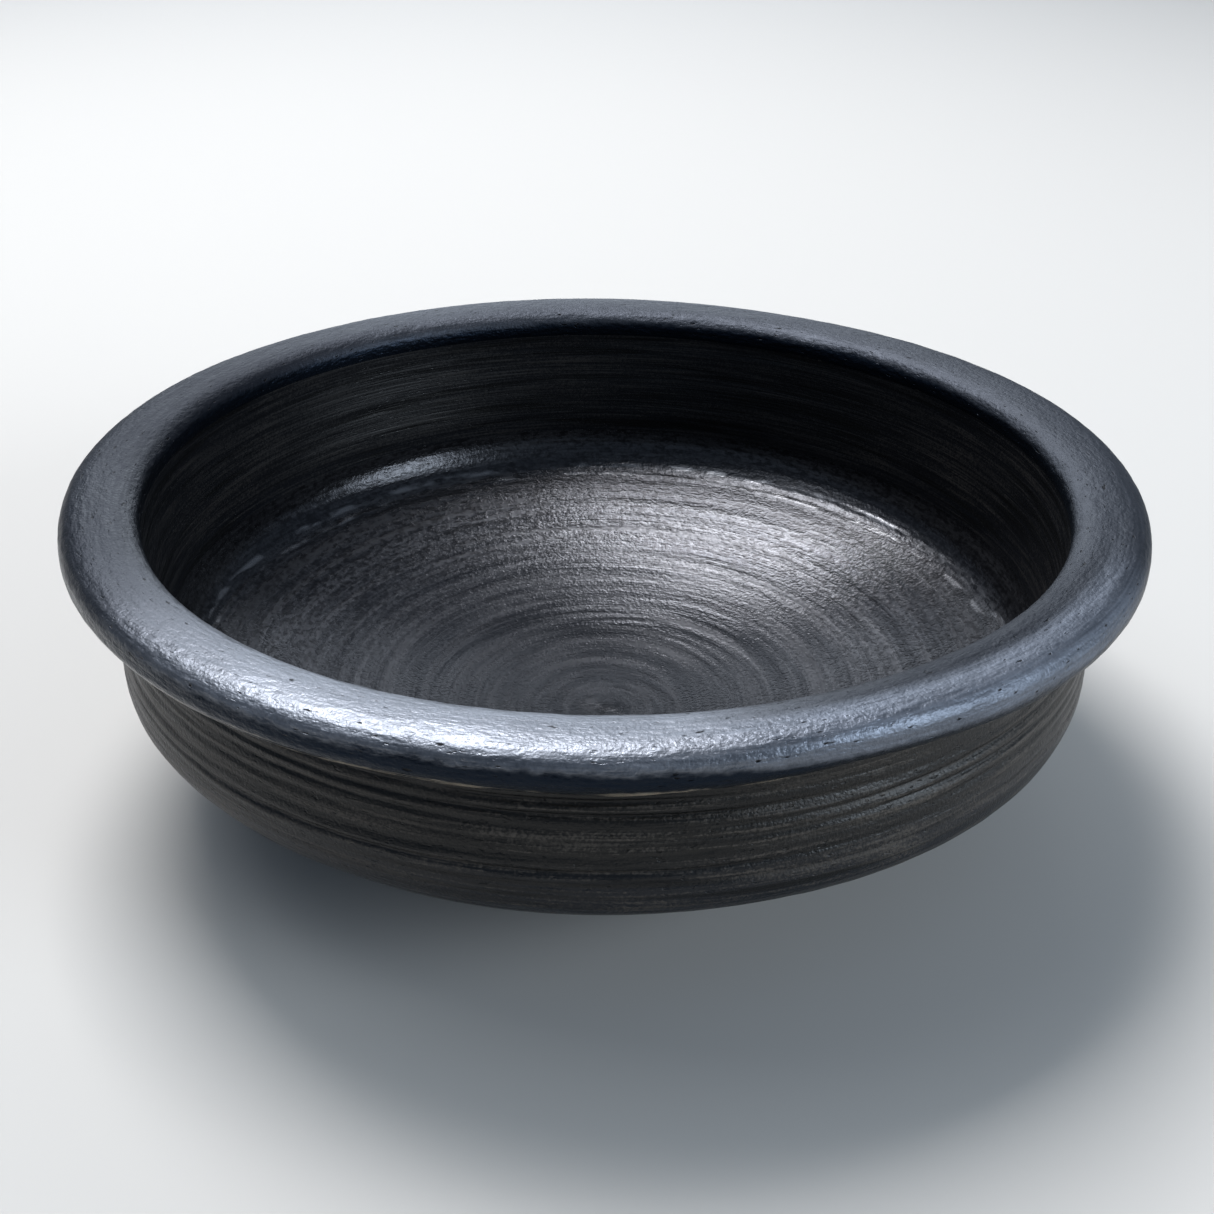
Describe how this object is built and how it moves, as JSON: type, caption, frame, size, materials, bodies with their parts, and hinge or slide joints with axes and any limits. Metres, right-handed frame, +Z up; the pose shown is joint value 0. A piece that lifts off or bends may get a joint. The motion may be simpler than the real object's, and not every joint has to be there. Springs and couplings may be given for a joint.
{
  "type": "round-bottomed clay cooking pot",
  "caption": "Wide, open cooking pot of burnished black earthenware: dished floor, upright grooved wall, thick rolled rim, small flattened foot.",
  "frame": {"origin": "centre of the flattened foot, on the surface that the pot stands on", "axes": "+Z up along the pot's own axis; +X and +Y are alike, because every member is a solid of revolution"},
  "size_m": [0.3, 0.3, 0.0936],
  "materials": {
    "floor_clay": "unglazed black earthenware, wiped and scraped in rings, satin",
    "wall_clay": "unglazed black earthenware, tooled in horizontal grooves and burnished below, satin",
    "rim_clay": "unglazed black earthenware, stone-burnished to a soft graphite sheen"
  },
  "bodies": {
    "root": {"base_disc": "floor_clay", "base_band": "floor_clay", "corner_coil": "floor_clay", "shoulder_coil": "wall_clay", "lower_wall_coil": "wall_clay", "upper_wall_coil": "wall_clay", "neck_coil": "wall_clay", "rim_coil": "rim_clay"}
  },
  "joints": []
}
